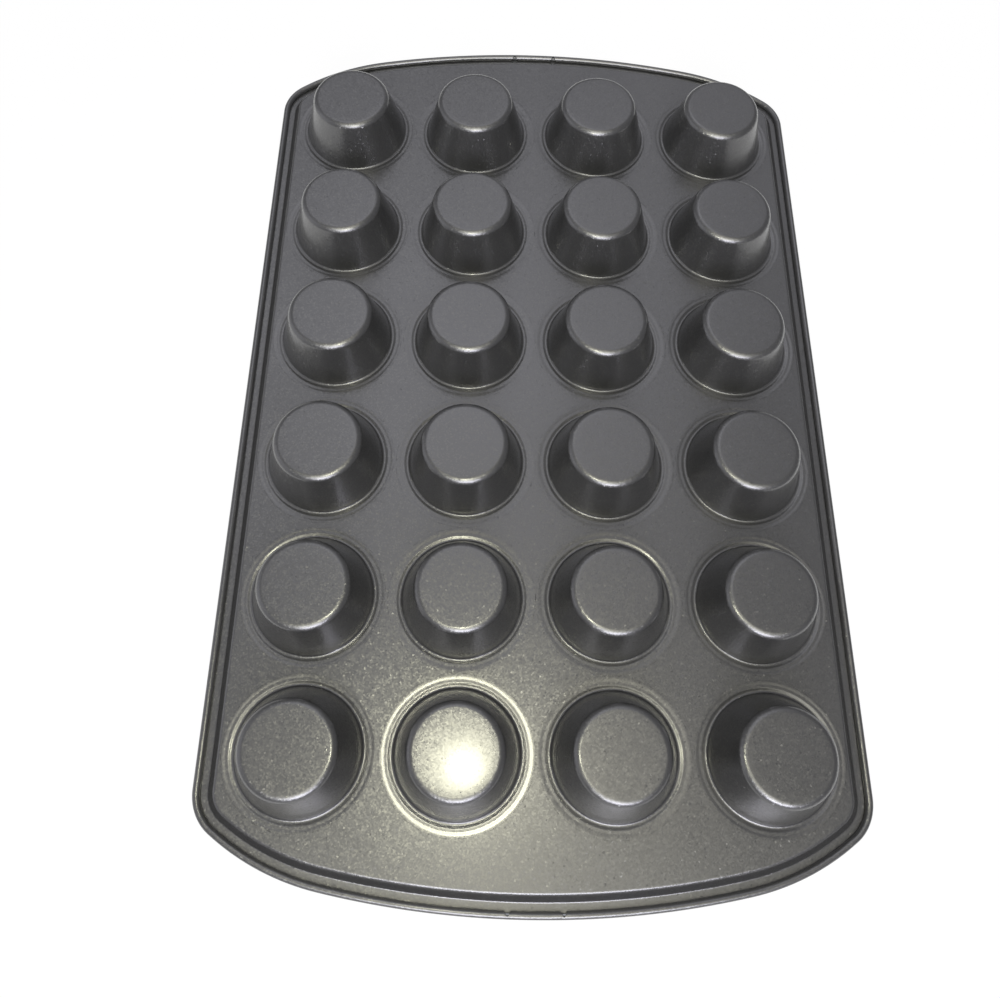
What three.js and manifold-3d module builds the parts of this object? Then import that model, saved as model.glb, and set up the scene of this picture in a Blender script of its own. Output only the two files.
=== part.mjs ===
// Mini muffin pan, resting upside down on its rim with the bases of the cups facing up.
// Millimetres, +Z up, +X to the right across the pan, +Y along the pan towards its back end.
// The origin lies under the middle of the pan, in the plane of the flange that it rests on.
import * as THREE from "three";
import { mergeVertices } from "three/addons/utils/BufferGeometryUtils.js";
import Module from "manifold-3d";

const { degToRad } = THREE.MathUtils;

// Sheet
const SHEET = 0.5; // thickness of every pressed piece

// Cups
const CUP_COLUMNS = 4;
const CUP_ROWS = 6;
const CUP_MOUTH_RADIUS = 23.8; // outside of the wall, where it meets the seat ring
const CUP_BASE_RADIUS = 17.0; // outside of the wall, carried straight up to the base
const CUP_HEIGHT = 20.4; // seat ring's upper face to the outer face of the base
const CUP_BASE_BEND = 3.0; // outer radius between wall and base
const CUP_RING_WIDTH = 3.0; // seat ring in view, from the wall to the edge of the deck's hole
const CUP_LAP = 1.0; // seat ring hidden under the deck
const CUP_GAP_ACROSS = 2.4; // between neighbouring seat rings along X
const CUP_GAP_ALONG = 2.4; // between neighbouring seat rings along Y

// Deck, measured at the seam where the rim's bend begins
const DECK_SIDE_LAND = 0.7; // outer seat ring to the long side
const DECK_END_LAND = 17.9; // outer seat ring to the middle of the bowed end
const DECK_CORNER_RADIUS = 9.9;
const DECK_SHOULDER_RADIUS = 91.5; // between the bowed end and the corner
const DECK_BOW_TURN = degToRad(11.8); // direction in which the bow runs into the shoulder
const DECK_SHOULDER_TURN = degToRad(37.2); // direction in which the shoulder runs into the corner

// Rim
const RIM_STEP = 3.9; // from the flange up to the deck
const RIM_SLOPE = degToRad(53); // steepness of the step's wall
const RIM_BEND = 1.2; // middle radius of the bends above and below the step's wall
const FLANGE_FLAT = 3.6; // lower bend to the middle of the curl
const CURL_TURN = degToRad(255);
const NOTCH_SPACING = 19.5; // between the two notches in the curl at each end
const NOTCH_WIDTH = 2.4;
const NOTCH_DEPTH = 1.1;

// Wire inside the curl
const WIRE_DIAMETER = 1.2;
const WIRE_CLEARANCE = 0.25; // wire to the inside of the curl
const WIRE_BUTT_GAP = 0.6; // between the wire's two ends

// Facets
const CUP_SIDES = 20;
const BASE_BEND_STEPS = 2;
const OUTLINE_ARC_STEPS = 4;
const CURL_STEPS = 6;
const WIRE_SIDES = 8;
const CUT_MARGIN = 1.0; // how far a cutting shape runs past what it cuts

// Sizes that follow from the ones above
const holeRadius = CUP_MOUTH_RADIUS + CUP_RING_WIDTH;
const ringRadius = holeRadius + CUP_LAP;
const pitchAcross = 2 * ringRadius + CUP_GAP_ACROSS;
const pitchAlong = 2 * ringRadius + CUP_GAP_ALONG;
const deckUnderside = RIM_STEP;
const deckHalfWidth = ((CUP_COLUMNS - 1) / 2) * pitchAcross + ringRadius + DECK_SIDE_LAND;
const deckHalfLength = ((CUP_ROWS - 1) / 2) * pitchAlong + ringRadius + DECK_END_LAND;
const wallLength = (RIM_STEP - 2 * RIM_BEND * (1 - Math.cos(RIM_SLOPE))) / Math.sin(RIM_SLOPE);
const stepRun = 2 * RIM_BEND * Math.sin(RIM_SLOPE) + wallLength * Math.cos(RIM_SLOPE);
const curlRadius = WIRE_DIAMETER / 2 + WIRE_CLEARANCE + SHEET / 2; // to the middle of the sheet
const curlCentre = new THREE.Vector2(stepRun + FLANGE_FLAT, SHEET / 2 + curlRadius);

// Centres and radii of the arcs that make one quarter of the deck's edge
const bowSine = Math.sin(DECK_BOW_TURN);
const shoulderSine = Math.sin(DECK_SHOULDER_TURN);
const shoulderWidth = DECK_SHOULDER_RADIUS * (shoulderSine - bowSine);
const cornerWidth = DECK_CORNER_RADIUS * (1 - shoulderSine);
const bowRadius = (deckHalfWidth - shoulderWidth - cornerWidth) / bowSine;
const bowCentre = new THREE.Vector2(0, deckHalfLength - bowRadius);
const shoulderCentre = stepTowards(bowCentre, DECK_BOW_TURN, bowRadius - DECK_SHOULDER_RADIUS);
const cornerReach = DECK_SHOULDER_RADIUS - DECK_CORNER_RADIUS;
const cornerCentre = stepTowards(shoulderCentre, DECK_SHOULDER_TURN, cornerReach);

// A point at a distance from another, in a direction turned from +Y towards +X.
function stepTowards(from, turn, distance) {
  return new THREE.Vector2(from.x + distance * Math.sin(turn), from.y + distance * Math.cos(turn));
}

// The pan's outline, counterclockwise, at a distance outside the deck's edge.
function outlinePoints(outset) {
  const quarter = [
    { centre: cornerCentre, radius: DECK_CORNER_RADIUS, from: Math.PI / 2, to: DECK_SHOULDER_TURN },
    { centre: shoulderCentre, radius: DECK_SHOULDER_RADIUS, from: DECK_SHOULDER_TURN, to: DECK_BOW_TURN },
    { centre: bowCentre, radius: bowRadius, from: DECK_BOW_TURN, to: 0 },
  ];
  const mirrored = quarter.toReversed().map(({ centre, radius, from, to }) => {
    return { centre: new THREE.Vector2(-centre.x, centre.y), radius, from: -to, to: -from };
  });
  const backEnd = [];
  for (const { centre, radius, from, to } of [...quarter, ...mirrored]) {
    const reach = radius + outset;
    const start = Math.PI / 2 - from;
    const arc = new THREE.EllipseCurve(centre.x, centre.y, reach, reach, start, Math.PI / 2 - to);
    const points = arc.getPoints(OUTLINE_ARC_STEPS);
    backEnd.push(...(backEnd.length ? points.slice(1) : points));
  }
  const frontEnd = backEnd.map((point) => point.clone().negate());
  return [...backEnd, ...frontEnd];
}

// Middle line of a bent sheet, made of straight runs, round bends and sharp folds.
// Each entry holds a point and the way to the sheet's left face for one unit of half thickness.
function bendLine(start, moves) {
  const line = [];
  const at = start.clone();
  let heading = 0;
  const along = (angle, length) => new THREE.Vector2(Math.cos(angle), Math.sin(angle)).multiplyScalar(length);
  const mark = () => line.push({ at: at.clone(), left: along(heading + Math.PI / 2, 1) });
  mark();
  for (const { run = 0, radius = 0, turn = 0, steps = 1 } of moves) {
    if (turn && !radius) {
      line.at(-1).left = along(heading + turn / 2 + Math.PI / 2, 1 / Math.cos(turn / 2));
      heading += turn;
      continue;
    }
    for (let step = 0; step < steps; step++) {
      const part = turn / steps;
      const length = turn ? 2 * radius * Math.sin(Math.abs(part) / 2) : run;
      at.add(along(heading + part / 2, length));
      heading += part;
      mark();
    }
  }
  return line;
}

// Closed outline of a sheet of the pan's thickness around its middle line: out on the left, back on the right.
function sheetSection(line) {
  const face = (side) => line.map(({ at, left }) => at.clone().addScaledVector(left, side * SHEET / 2));
  return [...face(1), ...face(-1).toReversed()];
}

// A closed section carried right round the pan's outline. The section's x is the distance outside
// the deck's edge and its y is the height, and its points run clockwise.
function carryRoundOutline(section) {
  const loops = section.map(({ x }) => outlinePoints(x));
  const stations = loops[0].length;
  const positions = [];
  const triangles = [];
  loops.forEach((loop, j) => {
    const next = (j + 1) % section.length;
    loop.forEach(({ x, y }, i) => {
      positions.push(x, y, section[j].y);
      const ahead = (i + 1) % stations;
      const corners = [j * stations + i, next * stations + i, next * stations + ahead, j * stations + ahead];
      triangles.push(corners[0], corners[1], corners[2], corners[0], corners[2], corners[3]);
    });
  });
  const geometry = new THREE.BufferGeometry();
  geometry.setAttribute("position", new THREE.Float32BufferAttribute(positions, 3));
  geometry.setIndex(triangles);
  return geometry;
}

const wasm = await Module();
wasm.setup();

function toSolid(geometry) {
  const bare = geometry.clone();
  bare.deleteAttribute("normal");
  bare.deleteAttribute("uv");
  const merged = mergeVertices(bare);
  const vertProperties = new Float32Array(merged.attributes.position.array);
  const triVerts = new Uint32Array(merged.index.array);
  return new wasm.Manifold(new wasm.Mesh({ numProp: 3, vertProperties, triVerts }));
}

function cutAway(geometry, tools) {
  const cut = tools.reduce((body, tool) => body.subtract(toSolid(tool)), toSolid(geometry)).getMesh();
  const result = new THREE.BufferGeometry();
  result.setAttribute("position", new THREE.BufferAttribute(new Float32Array(cut.vertProperties), 3));
  result.setIndex(new THREE.BufferAttribute(new Uint32Array(cut.triVerts), 1));
  result.computeVertexNormals();
  return result;
}

// Dark grey non-stick coating with a metallic flake, over pressed steel
function coatedSteel() {
  return new THREE.MeshStandardMaterial({ color: 0x6e6d6b, roughness: 0.38, metalness: 0.6 });
}

function bareSteel() {
  return new THREE.MeshStandardMaterial({ color: 0xa5a6a8, roughness: 0.3, metalness: 1.0 });
}

function cupCentres() {
  const centres = [];
  for (let row = 1; row <= CUP_ROWS; row++) {
    for (let column = 1; column <= CUP_COLUMNS; column++) {
      const x = (column - (CUP_COLUMNS + 1) / 2) * pitchAcross;
      const y = ((CUP_ROWS + 1) / 2 - row) * pitchAlong;
      centres.push({ name: `cup_r${row}_c${column}`, x, y });
    }
  }
  return centres;
}

// Flat web between the cups, with a round hole for each of them.
function deckPlate() {
  const shape = new THREE.Shape(outlinePoints(0));
  for (const { x, y } of cupCentres()) {
    const edge = new THREE.EllipseCurve(x, y, holeRadius, holeRadius).getPoints(CUP_SIDES);
    shape.holes.push(new THREE.Path(edge.slice(1)));
  }
  const geometry = new THREE.ExtrudeGeometry(shape, { depth: SHEET, bevelEnabled: false });
  const mesh = new THREE.Mesh(geometry, coatedSteel());
  mesh.name = "deck_plate";
  mesh.position.z = deckUnderside;
  return mesh;
}

// One drawn cup: base, tapered wall and the flat ring that seats against the deck from below.
function cup({ name, x, y }) {
  const slope = Math.atan2(CUP_HEIGHT, CUP_MOUTH_RADIUS - CUP_BASE_RADIUS);
  const bendRadius = CUP_BASE_BEND - SHEET / 2;
  const flatRadius = CUP_BASE_RADIUS - CUP_BASE_BEND * Math.tan(slope / 2);
  const bendDrop = bendRadius * (1 - Math.cos(slope));
  const wallRun = (CUP_HEIGHT - bendDrop) / Math.sin(slope);
  const wallFoot = flatRadius + bendRadius * Math.sin(slope) + wallRun * Math.cos(slope);
  const line = bendLine(new THREE.Vector2(0, CUP_HEIGHT - SHEET / 2), [
    { run: flatRadius },
    { radius: bendRadius, turn: -slope, steps: BASE_BEND_STEPS },
    { run: wallRun },
    { turn: slope },
    { run: ringRadius - wallFoot },
  ]);
  const geometry = new THREE.LatheGeometry(sheetSection(line).toReversed(), CUP_SIDES).rotateX(Math.PI / 2);
  const mesh = new THREE.Mesh(geometry, coatedSteel());
  mesh.name = name;
  mesh.position.set(x, y, deckUnderside);
  return mesh;
}

// Two wedges at each end, which notch the free edge of the curl.
function notchWedges() {
  const freeEdge = curlCentre.x + (curlRadius + SHEET / 2) * Math.sin(CURL_TURN);
  const outline = [
    new THREE.Vector2(-NOTCH_WIDTH / 2, -CUT_MARGIN),
    new THREE.Vector2(NOTCH_WIDTH / 2, -CUT_MARGIN),
    new THREE.Vector2(NOTCH_WIDTH / 2, 0),
    new THREE.Vector2(0, NOTCH_DEPTH),
    new THREE.Vector2(-NOTCH_WIDTH / 2, 0),
  ];
  const depth = curlRadius + SHEET / 2 + CUT_MARGIN;
  const wedges = [];
  for (const end of [0, Math.PI]) {
    for (const side of [-1, 1]) {
      const wedge = new THREE.ExtrudeGeometry(new THREE.Shape(outline), { depth, bevelEnabled: false });
      wedge.translate(0, bowRadius + freeEdge, curlCentre.y);
      wedge.rotateZ((side * NOTCH_SPACING) / 2 / (bowRadius + freeEdge));
      wedge.translate(0, bowCentre.y, 0);
      wedge.rotateZ(end);
      wedges.push(wedge);
    }
  }
  return wedges;
}

// Step down from the deck, flange that the pan rests on, and the curl along its edge.
function rolledRim() {
  const line = bendLine(new THREE.Vector2(0, deckUnderside + SHEET / 2), [
    { radius: RIM_BEND, turn: -RIM_SLOPE },
    { run: wallLength },
    { radius: RIM_BEND, turn: RIM_SLOPE },
    { run: FLANGE_FLAT },
    { radius: curlRadius, turn: CURL_TURN, steps: CURL_STEPS },
  ]);
  const geometry = cutAway(carryRoundOutline(sheetSection(line)), notchWedges());
  const mesh = new THREE.Mesh(geometry, coatedSteel());
  mesh.name = "rolled_rim";
  return mesh;
}

// Stiffening wire inside the curl, its two ends butted at the middle of the back end.
function rimWire() {
  const radius = WIRE_DIAMETER / 2;
  const round = new THREE.EllipseCurve(curlCentre.x, curlCentre.y, radius, radius);
  const section = round.getPoints(WIRE_SIDES).slice(1).toReversed();
  const gapLength = WIRE_DIAMETER + CUT_MARGIN;
  const gap = new THREE.BoxGeometry(WIRE_BUTT_GAP, gapLength, gapLength);
  gap.translate(0, deckHalfLength + curlCentre.x, curlCentre.y);
  const mesh = new THREE.Mesh(cutAway(carryRoundOutline(section), [gap]), bareSteel());
  mesh.name = "rim_wire";
  return mesh;
}

const pan = new THREE.Group();
pan.name = "mini_muffin_pan";
pan.add(deckPlate(), rolledRim(), rimWire());
pan.add(new THREE.Group().add(...cupCentres().map(cup)));

export default pan;
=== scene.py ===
import math
import bpy
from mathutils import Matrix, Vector
from mathutils.geometry import delaunay_2d_cdt


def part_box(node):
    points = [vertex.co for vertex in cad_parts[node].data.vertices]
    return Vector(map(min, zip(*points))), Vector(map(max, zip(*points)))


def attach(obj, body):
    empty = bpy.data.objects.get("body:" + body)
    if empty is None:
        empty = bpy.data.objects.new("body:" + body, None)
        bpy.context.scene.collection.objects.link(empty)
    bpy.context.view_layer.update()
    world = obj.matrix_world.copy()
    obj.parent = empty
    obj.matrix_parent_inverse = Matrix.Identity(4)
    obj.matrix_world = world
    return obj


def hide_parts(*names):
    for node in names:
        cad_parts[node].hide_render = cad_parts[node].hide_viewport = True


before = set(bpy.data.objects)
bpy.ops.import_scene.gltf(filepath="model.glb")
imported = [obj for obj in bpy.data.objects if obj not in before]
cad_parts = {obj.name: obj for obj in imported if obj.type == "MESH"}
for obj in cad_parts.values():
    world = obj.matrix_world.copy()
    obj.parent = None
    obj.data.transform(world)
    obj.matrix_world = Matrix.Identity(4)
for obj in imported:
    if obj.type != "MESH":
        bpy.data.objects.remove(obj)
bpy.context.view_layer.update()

mm = 0.001


def linearColour(hexText):
    channels = [int(hexText[i:i + 2], 16) / 255 for i in (1, 3, 5)]
    return tuple(c / 12.92 if c <= 0.04045 else ((c + 0.055) / 1.055) ** 2.4 for c in channels) + (1.0,)


# adds one node: settings are its properties, sockets are numbers, colours or outputs of other nodes
def addNode(tree, kind, sockets=None, **settings):
    node = tree.nodes.new(kind)
    for key, value in settings.items():
        setattr(node, key, value)
    for key, value in (sockets or {}).items():
        if isinstance(value, bpy.types.NodeSocket):
            tree.links.new(value, node.inputs[key])
        else:
            node.inputs[key].default_value = value
    return node


def emptyMaterial(name):
    material = bpy.data.materials.new(name)
    material.use_nodes = True
    material.node_tree.nodes.clear()
    return material, material.node_tree


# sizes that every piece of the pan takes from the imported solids
deckLow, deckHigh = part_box("deck_plate")
deckUnder = deckLow[2]
deckTop = deckHigh[2]
sheet = deckTop - deckUnder
cupNames = sorted(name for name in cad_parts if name.startswith("cup_"))
cupBoxes = {name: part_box(name) for name in cupNames}
cupCentres = {
    name: ((low[0] + high[0]) / 2, (low[1] + high[1]) / 2)
    for name, (low, high) in cupBoxes.items()}
baseTop = cupBoxes[cupNames[0]][1][2]


# non-stick coated steel: a sprayed PTFE coat full of metal flake over pressed sheet.
# To the eye it is a dark neutral grey, satin rather than shiny, that sparkles in tiny points near
# a highlight, with a thin clear skin that draws crisp lines of light along every bend.
coating = {
    "colour": "#646464",
    "glint": "#6c6c6a",          # the flakes that catch the light
    "glintStart": 0.7,           # flakes drawn above this, out of 1, shade over to the glint
    "metallic": 0.8,             # metal flake in a resin binder, which scatters a little by itself
    "roughness": 0.35,
    "roughnessSpread": 0.02,
    "skinIor": 1.5,              # clear resin
    "skinWeight": 0.55,
    "skinRoughness": 0.18,
    "flakeSize": 0.55 * mm,      # real flakes are near 0.08 mm, drawn coarser so that they show
    "flakeTilt": 0.095,
    "sparkShare": 0.06,          # the few flakes that lean further and flash as single points
    "sparkTilt": 0.4,
    "peelSize": 2.2 * mm,        # faint orange peel of the sprayed coat
    "peelHeight": 0.004 * mm,
    "peelDetail": 2.0,
    "cloudSize": 45 * mm,        # slow drift in how thick the coat lies
    "cloudDetail": 3.0,
    "cloudRange": (0.3, 0.7),    # the part of the noise that the drift uses
}


def makeCoatedSteel():
    material, tree = emptyMaterial("sprayed_non_stick_on_steel")
    place = addNode(tree, "ShaderNodeNewGeometry")
    where = place.outputs["Position"]
    flakes = addNode(tree, "ShaderNodeTexVoronoi", {"Vector": where, "Scale": 1 / coating["flakeSize"]})
    cloud = addNode(tree, "ShaderNodeTexNoise", {
        "Vector": where, "Scale": 1 / coating["cloudSize"], "Detail": coating["cloudDetail"]})
    peel = addNode(tree, "ShaderNodeTexNoise", {
        "Vector": where, "Scale": 1 / coating["peelSize"], "Detail": coating["peelDetail"]})
    chance = addNode(tree, "ShaderNodeSeparateColor", {"Color": flakes.outputs["Color"]})
    ramp = addNode(tree, "ShaderNodeValToRGB", {"Fac": chance.outputs["Red"]})
    stops = ramp.color_ramp.elements
    stops[0].position = coating["glintStart"]
    stops[0].color = linearColour(coating["colour"])
    stops[1].position = 1.0
    stops[1].color = linearColour(coating["glint"])
    thin, thick = coating["cloudRange"]
    roughness = addNode(tree, "ShaderNodeMapRange", {
        "Value": cloud.outputs["Fac"], "From Min": thin, "From Max": thick,
        "To Min": coating["roughness"] - coating["roughnessSpread"],
        "To Max": coating["roughness"] + coating["roughnessSpread"]})
    bump = addNode(tree, "ShaderNodeBump", {"Height": peel.outputs["Fac"], "Distance": coating["peelHeight"]})
    lean = addNode(tree, "ShaderNodeVectorMath", {
        0: flakes.outputs["Color"], 1: (0.5, 0.5, 0.5)}, operation="SUBTRACT")  # from 0..1 to both sides of 0
    reach = addNode(tree, "ShaderNodeMapRange", {
        "Value": chance.outputs["Blue"], "From Min": 1 - coating["sparkShare"], "From Max": 1.0,
        "To Min": coating["flakeTilt"], "To Max": coating["sparkTilt"]})
    tilt = addNode(tree, "ShaderNodeVectorMath", {
        0: lean.outputs[0], "Scale": reach.outputs["Result"]}, operation="SCALE")
    leant = addNode(tree, "ShaderNodeVectorMath", {
        0: bump.outputs["Normal"], 1: tilt.outputs[0]}, operation="ADD")
    normal = addNode(tree, "ShaderNodeVectorMath", {0: leant.outputs[0]}, operation="NORMALIZE")
    shader = addNode(tree, "ShaderNodeBsdfPrincipled", {
        "Base Color": ramp.outputs["Color"], "Metallic": coating["metallic"],
        "Roughness": roughness.outputs["Result"], "Normal": normal.outputs[0],
        "Coat Weight": coating["skinWeight"], "Coat IOR": coating["skinIor"],
        "Coat Roughness": coating["skinRoughness"]})
    addNode(tree, "ShaderNodeOutputMaterial", {"Surface": shader.outputs["BSDF"]})
    return material


# plain drawn steel wire: bright bare metal whose shine is finely broken up by the marks of the die
wireFinish = {
    "colour": "#a2a4a6",
    "roughness": 0.3,
    "roughnessSpread": 0.08,
    "markSize": 0.25 * mm,       # the die's marks are finer, drawn coarser so that they show
    "markDetail": 2.0,
}


def makeDrawnWire():
    material, tree = emptyMaterial("drawn_steel_wire")
    place = addNode(tree, "ShaderNodeNewGeometry")
    marks = addNode(tree, "ShaderNodeTexNoise", {
        "Vector": place.outputs["Position"], "Scale": 1 / wireFinish["markSize"],
        "Detail": wireFinish["markDetail"]})
    roughness = addNode(tree, "ShaderNodeMapRange", {
        "Value": marks.outputs["Fac"],
        "To Min": wireFinish["roughness"] - wireFinish["roughnessSpread"],
        "To Max": wireFinish["roughness"] + wireFinish["roughnessSpread"]})
    shader = addNode(tree, "ShaderNodeBsdfPrincipled", {
        "Base Color": linearColour(wireFinish["colour"]), "Metallic": 1.0,
        "Roughness": roughness.outputs["Result"]})
    addNode(tree, "ShaderNodeOutputMaterial", {"Surface": shader.outputs["BSDF"]})
    return material


coatedSteel = makeCoatedSteel()
drawnWire = makeDrawnWire()
print("materials made")


# a smooth mesh in the pan's finish, sharp where two faces meet at more than the crease angle
def makeSheetMesh(name, points, faces, crease):
    mesh = bpy.data.meshes.new(name)
    mesh.from_pydata(points, [], faces)
    mesh.validate()
    mesh.polygons.foreach_set("use_smooth", [True] * len(mesh.polygons))
    mesh.set_sharp_from_angle(angle=crease)
    mesh.materials.append(coatedSteel)
    return mesh


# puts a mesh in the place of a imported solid
def placePiece(name, node, mesh, location=(0, 0, 0)):
    piece = bpy.data.objects.new(name, mesh)
    piece.location = location
    bpy.context.scene.collection.objects.link(piece)
    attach(piece, "root")
    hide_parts(node)


# middle line of a bent sheet, as (point, way to its left face); a move is (run, bend radius, turn, steps)
def bendLine(start, moves):
    heading = 0.0
    at = Vector(start)
    line = [(at.copy(), Vector((0, 1)))]
    for run, radius, turn, steps in moves:
        part = turn / steps
        length = 2 * radius * math.sin(abs(part) / 2) if turn else run / steps
        for _ in range(steps):
            at = at + length * Vector((math.cos(heading + part / 2), math.sin(heading + part / 2)))
            heading += part
            line.append((at.copy(), Vector((-math.sin(heading), math.cos(heading)))))
    return line


# both faces of the sheet round its middle line, with a rounded free edge
def sheetSection(line, edgeSteps):
    upper = [at + left * sheet / 2 for at, left in line]
    lower = [at - left * sheet / 2 for at, left in line]
    at, left = line[-1]
    ahead = Vector((left.y, -left.x))
    angles = [math.pi * i / edgeSteps for i in range(1, edgeSteps)]
    edge = [at + (left * math.cos(a) + ahead * math.sin(a)) * sheet / 2 for a in angles]
    return upper + edge + lower[::-1]


# the pan's outline: straight sides, corners, shoulders and bowed ends, at the seam between deck and rim
outline = {
    "cornerRadius": 9.9 * mm,
    "shoulderRadius": 91.5 * mm,
    "bowTurn": math.radians(11.8),
    "shoulderTurn": math.radians(37.2),
    "sideTurn": math.radians(90),
    "cornerStep": 0.6 * mm,
    "curveStep": 2.5 * mm,
    "sideStep": 6.0 * mm,
    "notchZone": 14.0 * mm,      # stretch round the notches with finer steps
    "notchStep": 0.3 * mm,
}
bowSine = math.sin(outline["bowTurn"])
shoulderSine = math.sin(outline["shoulderTurn"])
bowRadius = (deckHigh[0] - outline["shoulderRadius"] * (shoulderSine - bowSine)
             - outline["cornerRadius"] * (1 - shoulderSine)) / bowSine


# points round the deck, each with the turn of its outward way from the pan's length
def deckEdge():
    def ahead(start, turn, length):
        return start + length * Vector((math.sin(turn), math.cos(turn)))

    cornerRadius, shoulderRadius = outline["cornerRadius"], outline["shoulderRadius"]
    sideTurn, shoulderTurn, bowTurn = outline["sideTurn"], outline["shoulderTurn"], outline["bowTurn"]
    bowCentre = Vector((0, deckHigh[1] - bowRadius))
    shoulderCentre = ahead(bowCentre, bowTurn, bowRadius - shoulderRadius)
    cornerCentre = ahead(shoulderCentre, shoulderTurn, shoulderRadius - cornerRadius)
    fineTurn = outline["notchZone"] / bowRadius
    sideSteps = round(cornerCentre.y / outline["sideStep"])
    quarter = [(Vector((deckHigh[0], cornerCentre.y * i / sideSteps)), sideTurn) for i in range(sideSteps)]
    for centre, radius, start, end, step in (
            (cornerCentre, cornerRadius, sideTurn, shoulderTurn, outline["cornerStep"]),
            (shoulderCentre, shoulderRadius, shoulderTurn, bowTurn, outline["curveStep"]),
            (bowCentre, bowRadius, bowTurn, fineTurn, outline["curveStep"]),
            (bowCentre, bowRadius, fineTurn, 0.0, outline["notchStep"])):
        count = math.ceil(radius * (start - end) / step)
        for i in range(count):
            turn = start + (end - start) * i / count
            quarter.append((ahead(centre, turn, radius), turn))
    quarter.append((Vector((0, deckHigh[1])), 0.0))
    mirrored = [(Vector((-at.x, at.y)), -turn) for at, turn in quarter[-2::-1]]
    half = (quarter + mirrored)[:-1]
    return half + [(-at, turn + math.pi) for at, turn in half]


edgeStations = [(at, Vector((math.sin(turn), math.cos(turn)))) for at, turn in deckEdge()]

# step, flange and curl, one sheet bent round the deck
rim = {
    "slope": math.radians(53),
    "bendRadius": 1.2 * mm,
    "bendSteps": 8,
    "runSteps": 2,               # faces across the step's wall and across the flange
    "flangeFlat": 3.6 * mm,
    "curlRadius": 1.1 * mm,      # to the middle of the sheet
    "curlTurn": math.radians(285),
    "curlSteps": 34,
    "edgeSteps": 4,              # round the free edge of the sheet
    "deckOverlap": 0.25 * mm,    # flat strip that carries the deck's face up to the bend
    "endLean": 0.1,              # stations that lean sideways less than this lie on an end
    "notchPlace": 9.75 * mm,     # each side of the middle of an end
    "notchHalfWidth": 1.7 * mm,
    "notchTurn": math.radians(125),
    "notchRounding": 0.4,        # 0 is a plain V, 1 a fully rounded dip
    "crease": math.radians(40),
}


def rimSection(notch):
    wallRise = deckUnder - 2 * rim["bendRadius"] * (1 - math.cos(rim["slope"]))
    curlTurn = rim["curlTurn"] - rim["notchTurn"] * notch
    line = bendLine((-rim["deckOverlap"], deckUnder + sheet / 2), [
        (rim["deckOverlap"], 0, 0, 1),
        (0, rim["bendRadius"], -rim["slope"], rim["bendSteps"]),
        (wallRise / math.sin(rim["slope"]), 0, 0, rim["runSteps"]),
        (0, rim["bendRadius"], rim["slope"], rim["bendSteps"]),
        (rim["flangeFlat"], 0, 0, rim["runSteps"]),
        (0, rim["curlRadius"], curlTurn, rim["curlSteps"])])
    return sheetSection(line, rim["edgeSteps"])


def makeRim():
    points, faces = [], []
    sections = {0.0: rimSection(0.0)}
    count = len(sections[0.0])
    for at, out in edgeStations:
        onEnd = abs(out.x) < rim["endLean"]
        distance = abs(abs(at.x) - rim["notchPlace"]) if onEnd else rim["notchHalfWidth"]
        depth = max(0.0, 1 - distance / rim["notchHalfWidth"])
        rounded = depth * depth * (3 - 2 * depth)
        mixed = rounded * rim["notchRounding"] + depth * (1 - rim["notchRounding"])
        notch = round(mixed, 4)  # so that like stations share a section
        if notch not in sections:
            sections[notch] = rimSection(notch)
        points += [(at.x + out.x * p.x, at.y + out.y * p.x, p.y) for p in sections[notch]]
    stations = len(edgeStations)
    for i in range(stations):
        a, b = i * count, (i + 1) % stations * count
        faces += [(a + j, a + (j + 1) % count, b + (j + 1) % count, b + j) for j in range(count)]
    mesh = makeSheetMesh("rolled_rim_sheet", points, faces, rim["crease"])
    placePiece("rolled_rim_sheet", "rolled_rim", mesh)


makeRim()
print("rim made")

# flat deck, drawn gently down round each hole
deck = {
    "holeSegments": 120,
    "dipStart": 28.9 * mm,       # radii where the flat begins to dip and where the cup's ring takes over
    "dipStartBySide": 28.1 * mm,  # less room beside the long sides
    "dipEnd": 26.5 * mm,
    "dipDepth": 0.125 * mm,
    "dipSteps": 14,
    "flatStrip": 0.1 * mm,       # keeps the flat face's shading flat up to the dip
    "weld": 1e-7,                # points of the flat face that lie closer than this are one
    "crease": math.radians(40),
}


def dipRadius(centre):
    spare = deckHigh[0] - rim["deckOverlap"] - abs(centre[0])
    return deck["dipStart"] if spare > deck["dipStart"] + deck["flatStrip"] else deck["dipStartBySide"]


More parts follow.
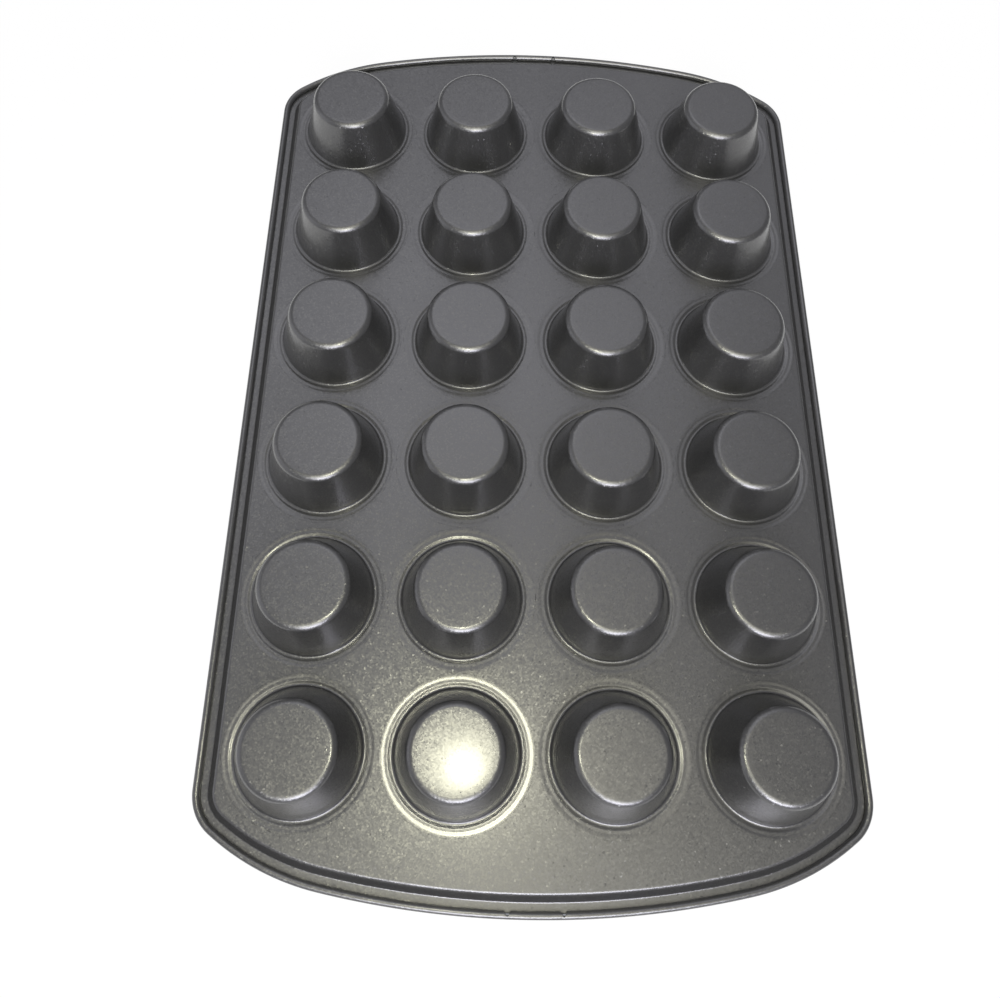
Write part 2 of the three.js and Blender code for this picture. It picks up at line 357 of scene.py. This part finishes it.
def makeDeck():
    points, faces = [], []

    def ring(centre, radius, height):
        first = len(points)
        for i in range(deck["holeSegments"]):
            angle = 2 * math.pi * i / deck["holeSegments"]
            x, y = centre[0] + radius * math.cos(angle), centre[1] + radius * math.sin(angle)
            points.append((x, y, height))
        return list(range(first, len(points)))

    def band(outer, inner):
        count = len(outer)
        return [(outer[i], outer[(i + 1) % count], inner[(i + 1) % count], inner[i]) for i in range(count)]

    def edgeLoop(height):
        first = len(points)
        points.extend((at.x - out.x * rim["deckOverlap"], at.y - out.y * rim["deckOverlap"], height)
                      for at, out in reversed(edgeStations))
        return list(range(first, len(points)))[::-1]

    # triangles between the outline and the holes
    def flatFace(loops, up):
        ids = [i for loop in loops for i in loop]
        order = {point: k for k, point in enumerate(ids)}
        edges = [(order[a], order[b]) for loop in loops for a, b in zip(loop, loop[1:] + loop[:1])]
        flat = [Vector(points[i][:2]) for i in ids]
        found = delaunay_2d_cdt(flat, edges, [], 0, deck["weld"])
        corners, triangles, sources = found[0], found[2], found[3]
        for triangle in triangles:
            middle = sum((corners[k] for k in triangle), Vector((0, 0))) / 3
            if any((middle - Vector(centre)).length < dipRadius(centre) for centre in cupCentres.values()):
                continue
            a, b, c = [ids[sources[k][0]] for k in triangle]
            faces.append((a, b, c) if up else (a, c, b))

    topLoops, lowLoops = [edgeLoop(deckTop)], [edgeLoop(deckUnder)]
    faces.extend(band(lowLoops[0], topLoops[0]))
    for centre in cupCentres.values():
        start = dipRadius(centre)
        outer = ring(centre, start + deck["flatStrip"], deckTop)
        topLoops.append(outer)
        for i in range(deck["dipSteps"] + 1):
            part = i / deck["dipSteps"]
            radius = start + (deck["dipEnd"] - start) * part
            fall = part ** 3 * (4 - 3 * part)  # starts softly, steepest two thirds of the way in
            inner = ring(centre, radius, deckTop - deck["dipDepth"] * fall)
            faces.extend(band(outer, inner))
            outer = inner
        under = ring(centre, deck["dipEnd"], deckUnder)
        faces.extend(band(outer, under))
        lowLoops.append(under)
    flatFace(topLoops, True)
    flatFace(lowLoops, False)
    mesh = makeSheetMesh("deck_sheet", points, faces, deck["crease"])
    placePiece("deck_sheet", "deck_plate", mesh)


makeDeck()
print("deck made")

# one drawn cup: flat base, round shoulder, tapered wall, and the two-tier ring pressed round its mouth
cup = {
    "segments": 120,
    "mouthRadius": 23.55 * mm,   # outside of the wall, carried down to the deck's underside
    "baseRadius": 17.0 * mm,     # where base and wall would meet without the bend
    "baseBend": 3.0 * mm,
    "baseBendSteps": 16,
    "baseSteps": 6,              # rings across the flat base and down the wall
    "wallSteps": 6,
    "footBend": 1.0 * mm,
    "footSteps": 9,
    "innerTier": 0.47 * mm,      # depth of the ring's inner tier under the deck's face
    "outerTierEdge": 25.8 * mm,  # radii where the step between the ring's two tiers begins and ends
    "innerTierEdge": 24.31 * mm,
    "tierSteps": 10,
    "lapEdge": 27.8 * mm,        # the ring runs on under the deck
    "joggle": 0.05 * mm,         # width of its step down to there
    "pointRadius": 1e-9,         # a ring smaller than this is one point on the axis
    "crease": math.radians(50),
}


# half section from the middle of the base out to the lap, and back along the inside
def cupProfile():
    slope = math.atan2(baseTop - deckUnder, cup["mouthRadius"] - cup["baseRadius"])
    flat = cup["baseRadius"] - cup["baseBend"] * math.tan(slope / 2)
    foot = deckTop - cup["innerTier"]
    up = Vector((0, 1))
    outside = []                 # (radius, height, unit way outwards)

    def wayAt(turn):
        return Vector((math.sin(turn), math.cos(turn)))

    def wallRadius(height):
        return cup["mouthRadius"] - (height - deckUnder) / math.tan(slope)

    for i in range(cup["baseSteps"] + 1):
        outside.append((flat * i / cup["baseSteps"], baseTop, up))
    for i in range(1, cup["baseBendSteps"] + 1):
        way = wayAt(slope * i / cup["baseBendSteps"])
        outside.append((flat + cup["baseBend"] * way.x, baseTop - cup["baseBend"] * (1 - way.y), way))
    wallTop = outside[-1][1]
    wallFoot = foot + cup["footBend"] * (1 - math.cos(slope))
    for i in range(1, cup["wallSteps"] + 1):
        height = wallTop + (wallFoot - wallTop) * i / cup["wallSteps"]
        outside.append((wallRadius(height), height, wayAt(slope)))
    footMiddle = outside[-1][0] + cup["footBend"] * math.sin(slope)
    footHeight = foot + cup["footBend"]
    for i in range(1, cup["footSteps"] + 1):
        way = wayAt(slope * (1 - i / cup["footSteps"]))
        outside.append((footMiddle - cup["footBend"] * way.x, footHeight - cup["footBend"] * way.y, way))
    rise = cup["innerTier"] - deck["dipDepth"]
    run = cup["outerTierEdge"] - cup["innerTierEdge"]
    for i in range(cup["tierSteps"] + 1):
        part = i / cup["tierSteps"]
        lean = -math.pi / 2 * rise / run * math.sin(math.pi * part)
        height = foot + rise * (1 - math.cos(math.pi * part)) / 2
        outside.append((cup["innerTierEdge"] + run * part, height, Vector((lean, 1)).normalized()))
    outside.append((deck["dipEnd"], deckTop - deck["dipDepth"], up))
    outside.append((deck["dipEnd"] + cup["joggle"], deckUnder, up))
    outside.append((cup["lapEdge"], deckUnder, up))
    inside = [(max(0.0, r - way.x * sheet), z - way.y * sheet) for r, z, way in outside]
    return [(r, z) for r, z, way in outside] + inside[::-1]


def makeCupMesh():
    points, faces, rings = [], [], []
    for radius, height in cupProfile():
        first = len(points)
        if radius < cup["pointRadius"]:
            points.append((0, 0, height))
            rings.append([first] * cup["segments"])
            continue
        for i in range(cup["segments"]):
            angle = 2 * math.pi * i / cup["segments"]
            points.append((radius * math.cos(angle), radius * math.sin(angle), height))
        rings.append(list(range(first, len(points))))
    for above, below in zip(rings, rings[1:]):
        for i in range(cup["segments"]):
            j = (i + 1) % cup["segments"]
            corners = (above[i], below[i], below[j], above[j])
            faces.append(tuple(dict.fromkeys(corners)))  # a triangle at the axis
    return makeSheetMesh("drawn_cup", points, faces, cup["crease"])


cupMesh = makeCupMesh()
for name in cupNames:
    placePiece(name.replace("cup_", "drawn_cup_"), name, cupMesh, (*cupCentres[name], 0))
print("cups made")

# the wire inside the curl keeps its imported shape
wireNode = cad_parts["rim_wire"]
wireNode.data.materials.clear()
wireNode.data.materials.append(drawnWire)
print("wire finished")

# floor: a pale sheet that shows white to the camera and in the metal, and keeps the pan's soft shadow
floorLook = {
    "size": 6.0,
    "drop": 0.1 * mm,            # a hair under the flange, so that the faces never share a plane
    "colour": "#fafafa",
    "white": "#ffffff",
    "glow": 0.9,                 # share of the plain white; the rest keeps the shadow
}


def makeFloor():
    half = floorLook["size"] / 2
    mesh = bpy.data.meshes.new("floor")
    corners = [(-half, -half, 0), (half, -half, 0), (half, half, 0), (-half, half, 0)]
    mesh.from_pydata(corners, [], [(0, 1, 2, 3)])
    floor = bpy.data.objects.new("floor", mesh)
    floor.location.z = -floorLook["drop"]
    bpy.context.scene.collection.objects.link(floor)
    material, tree = emptyMaterial("pale_paper_sweep")
    rays = addNode(tree, "ShaderNodeLightPath")
    mirrored = addNode(tree, "ShaderNodeMath", {
        0: rays.outputs["Is Camera Ray"], 1: rays.outputs["Is Glossy Ray"]}, operation="MAXIMUM")
    seen = addNode(tree, "ShaderNodeMath", {
        0: mirrored.outputs[0], 1: rays.outputs["Is Transmission Ray"]}, operation="MAXIMUM")
    share = addNode(tree, "ShaderNodeMath", {0: seen.outputs[0], 1: floorLook["glow"]}, operation="MULTIPLY")
    paper = addNode(tree, "ShaderNodeBsdfDiffuse", {"Color": linearColour(floorLook["colour"])})
    white = addNode(tree, "ShaderNodeEmission", {"Color": linearColour(floorLook["white"]), "Strength": 1.0})
    mix = addNode(tree, "ShaderNodeMixShader", {
        0: share.outputs[0], 1: paper.outputs[0], 2: white.outputs[0]})
    addNode(tree, "ShaderNodeOutputMaterial", {"Surface": mix.outputs[0]})
    mesh.materials.append(material)


makeFloor()
print("floor made")

# room light: soft round patches of brightness on the room's walls and ceiling, warmest overhead
room = {
    "background": "#ffffff",     # what the camera sees beyond the floor
    "evenColour": "#f5f5ff",
    "even": 0.24,
    "patches": {                 # way to its middle, reach, level, colour
        "ceiling behind": ((-0.07, 0.49, 0.87), 0.57, 1.28, "#f5f5ff"),
        "high wall behind": ((0.3, 0.75, 0.59), 0.4, 0.3, "#f5f5ff"),
        "ceiling overhead": ((0.08, 0.0, 0.997), 0.25, 0.95, "#fff4dc"),
        "ceiling in front": ((-0.01, -0.355, 0.935), 0.55, 2.5, "#fffce8"),
        "front wall": ((0.0, -0.7, 0.71), 0.5, 6.5, "#fdfdff"),
        "left wall": ((-0.93, 0.0, 0.37), 0.8, 0.7, "#f5f5ff"),
    },
}


def makeWorld():
    world = bpy.data.worlds.new("soft_room")
    bpy.context.scene.world = world
    world.use_nodes = True
    tree = world.node_tree
    tree.nodes.clear()
    way = addNode(tree, "ShaderNodeTexCoord")
    glow = addNode(tree, "ShaderNodeVectorMath", {
        0: linearColour(room["evenColour"])[:3], "Scale": room["even"]}, operation="SCALE")
    for middle, reach, level, colour in room["patches"].values():
        away = addNode(tree, "ShaderNodeVectorMath", {
            0: way.outputs["Generated"], 1: middle}, operation="DISTANCE")
        fade = addNode(tree, "ShaderNodeMapRange", {
            "Value": away.outputs["Value"], "From Max": reach, "To Min": level, "To Max": 0.0},
            interpolation_type="SMOOTHSTEP")
        patch = addNode(tree, "ShaderNodeVectorMath", {
            0: linearColour(colour)[:3], "Scale": fade.outputs["Result"]}, operation="SCALE")
        glow = addNode(tree, "ShaderNodeVectorMath", {
            0: glow.outputs[0], 1: patch.outputs[0]}, operation="ADD")
    light = addNode(tree, "ShaderNodeBackground", {"Color": glow.outputs[0], "Strength": 1.0})
    plain = addNode(tree, "ShaderNodeBackground", {
        "Color": linearColour(room["background"]), "Strength": 1.0})
    rays = addNode(tree, "ShaderNodeLightPath")
    mix = addNode(tree, "ShaderNodeMixShader", {
        0: rays.outputs["Is Camera Ray"], 1: light.outputs[0], 2: plain.outputs[0]})
    addNode(tree, "ShaderNodeOutputWorld", {"Surface": mix.outputs[0]})


makeWorld()
print("room light made")

# the camera of the picture
camera = {
    "sensor": 36,
    "lens": 28.25,
    "nearest": 10 * mm,
    "place": (-20.81 * mm, -153.28 * mm, 307.71 * mm),
    "turn": (19.559, -1.453, 0.741),  # degrees
}


def makeCamera():
    data = bpy.data.cameras.new("camera")
    data.sensor_width = camera["sensor"]
    data.lens = camera["lens"]
    data.clip_start = camera["nearest"]
    holder = bpy.data.objects.new("camera", data)
    holder.location = camera["place"]
    holder.rotation_euler = [math.radians(angle) for angle in camera["turn"]]
    bpy.context.scene.collection.objects.link(holder)
    bpy.context.scene.camera = holder


# the small round lamp beside the lens, and a wide pale window in front of the pan
lamps = {
    "flash": {
        "place": (-31.2 * mm, -146.5 * mm, 308.0 * mm),
        "target": (-20 * mm, -50 * mm, 0),
        "size": 12 * mm,
        "power": 0.21,
        "colour": "#fffde0",
    },
    "window": {
        "place": (0.1, -1.0, 0.64),
        "target": (0, 0, 0),
        "size": 0.6,
        "height": 0.36,
        "power": 5.0,
        "colour": "#eeecff",
    },
}


def makeLamp(name, look):
    data = bpy.data.lights.new(name, "AREA")
    data.shape = "RECTANGLE" if "height" in look else "DISK"
    data.size = look["size"]
    data.size_y = look.get("height", look["size"])
    data.energy = look["power"]
    data.color = linearColour(look["colour"])[:3]
    lamp = bpy.data.objects.new(name, data)
    lamp.location = look["place"]
    facing = Vector(look["target"]) - Vector(look["place"])
    lamp.rotation_euler = facing.to_track_quat("-Z", "Y").to_euler()
    bpy.context.scene.collection.objects.link(lamp)


makeCamera()
for name, look in lamps.items():
    makeLamp(name, look)
bpy.context.scene.view_settings.view_transform = "Standard"
print("camera and lamps set")
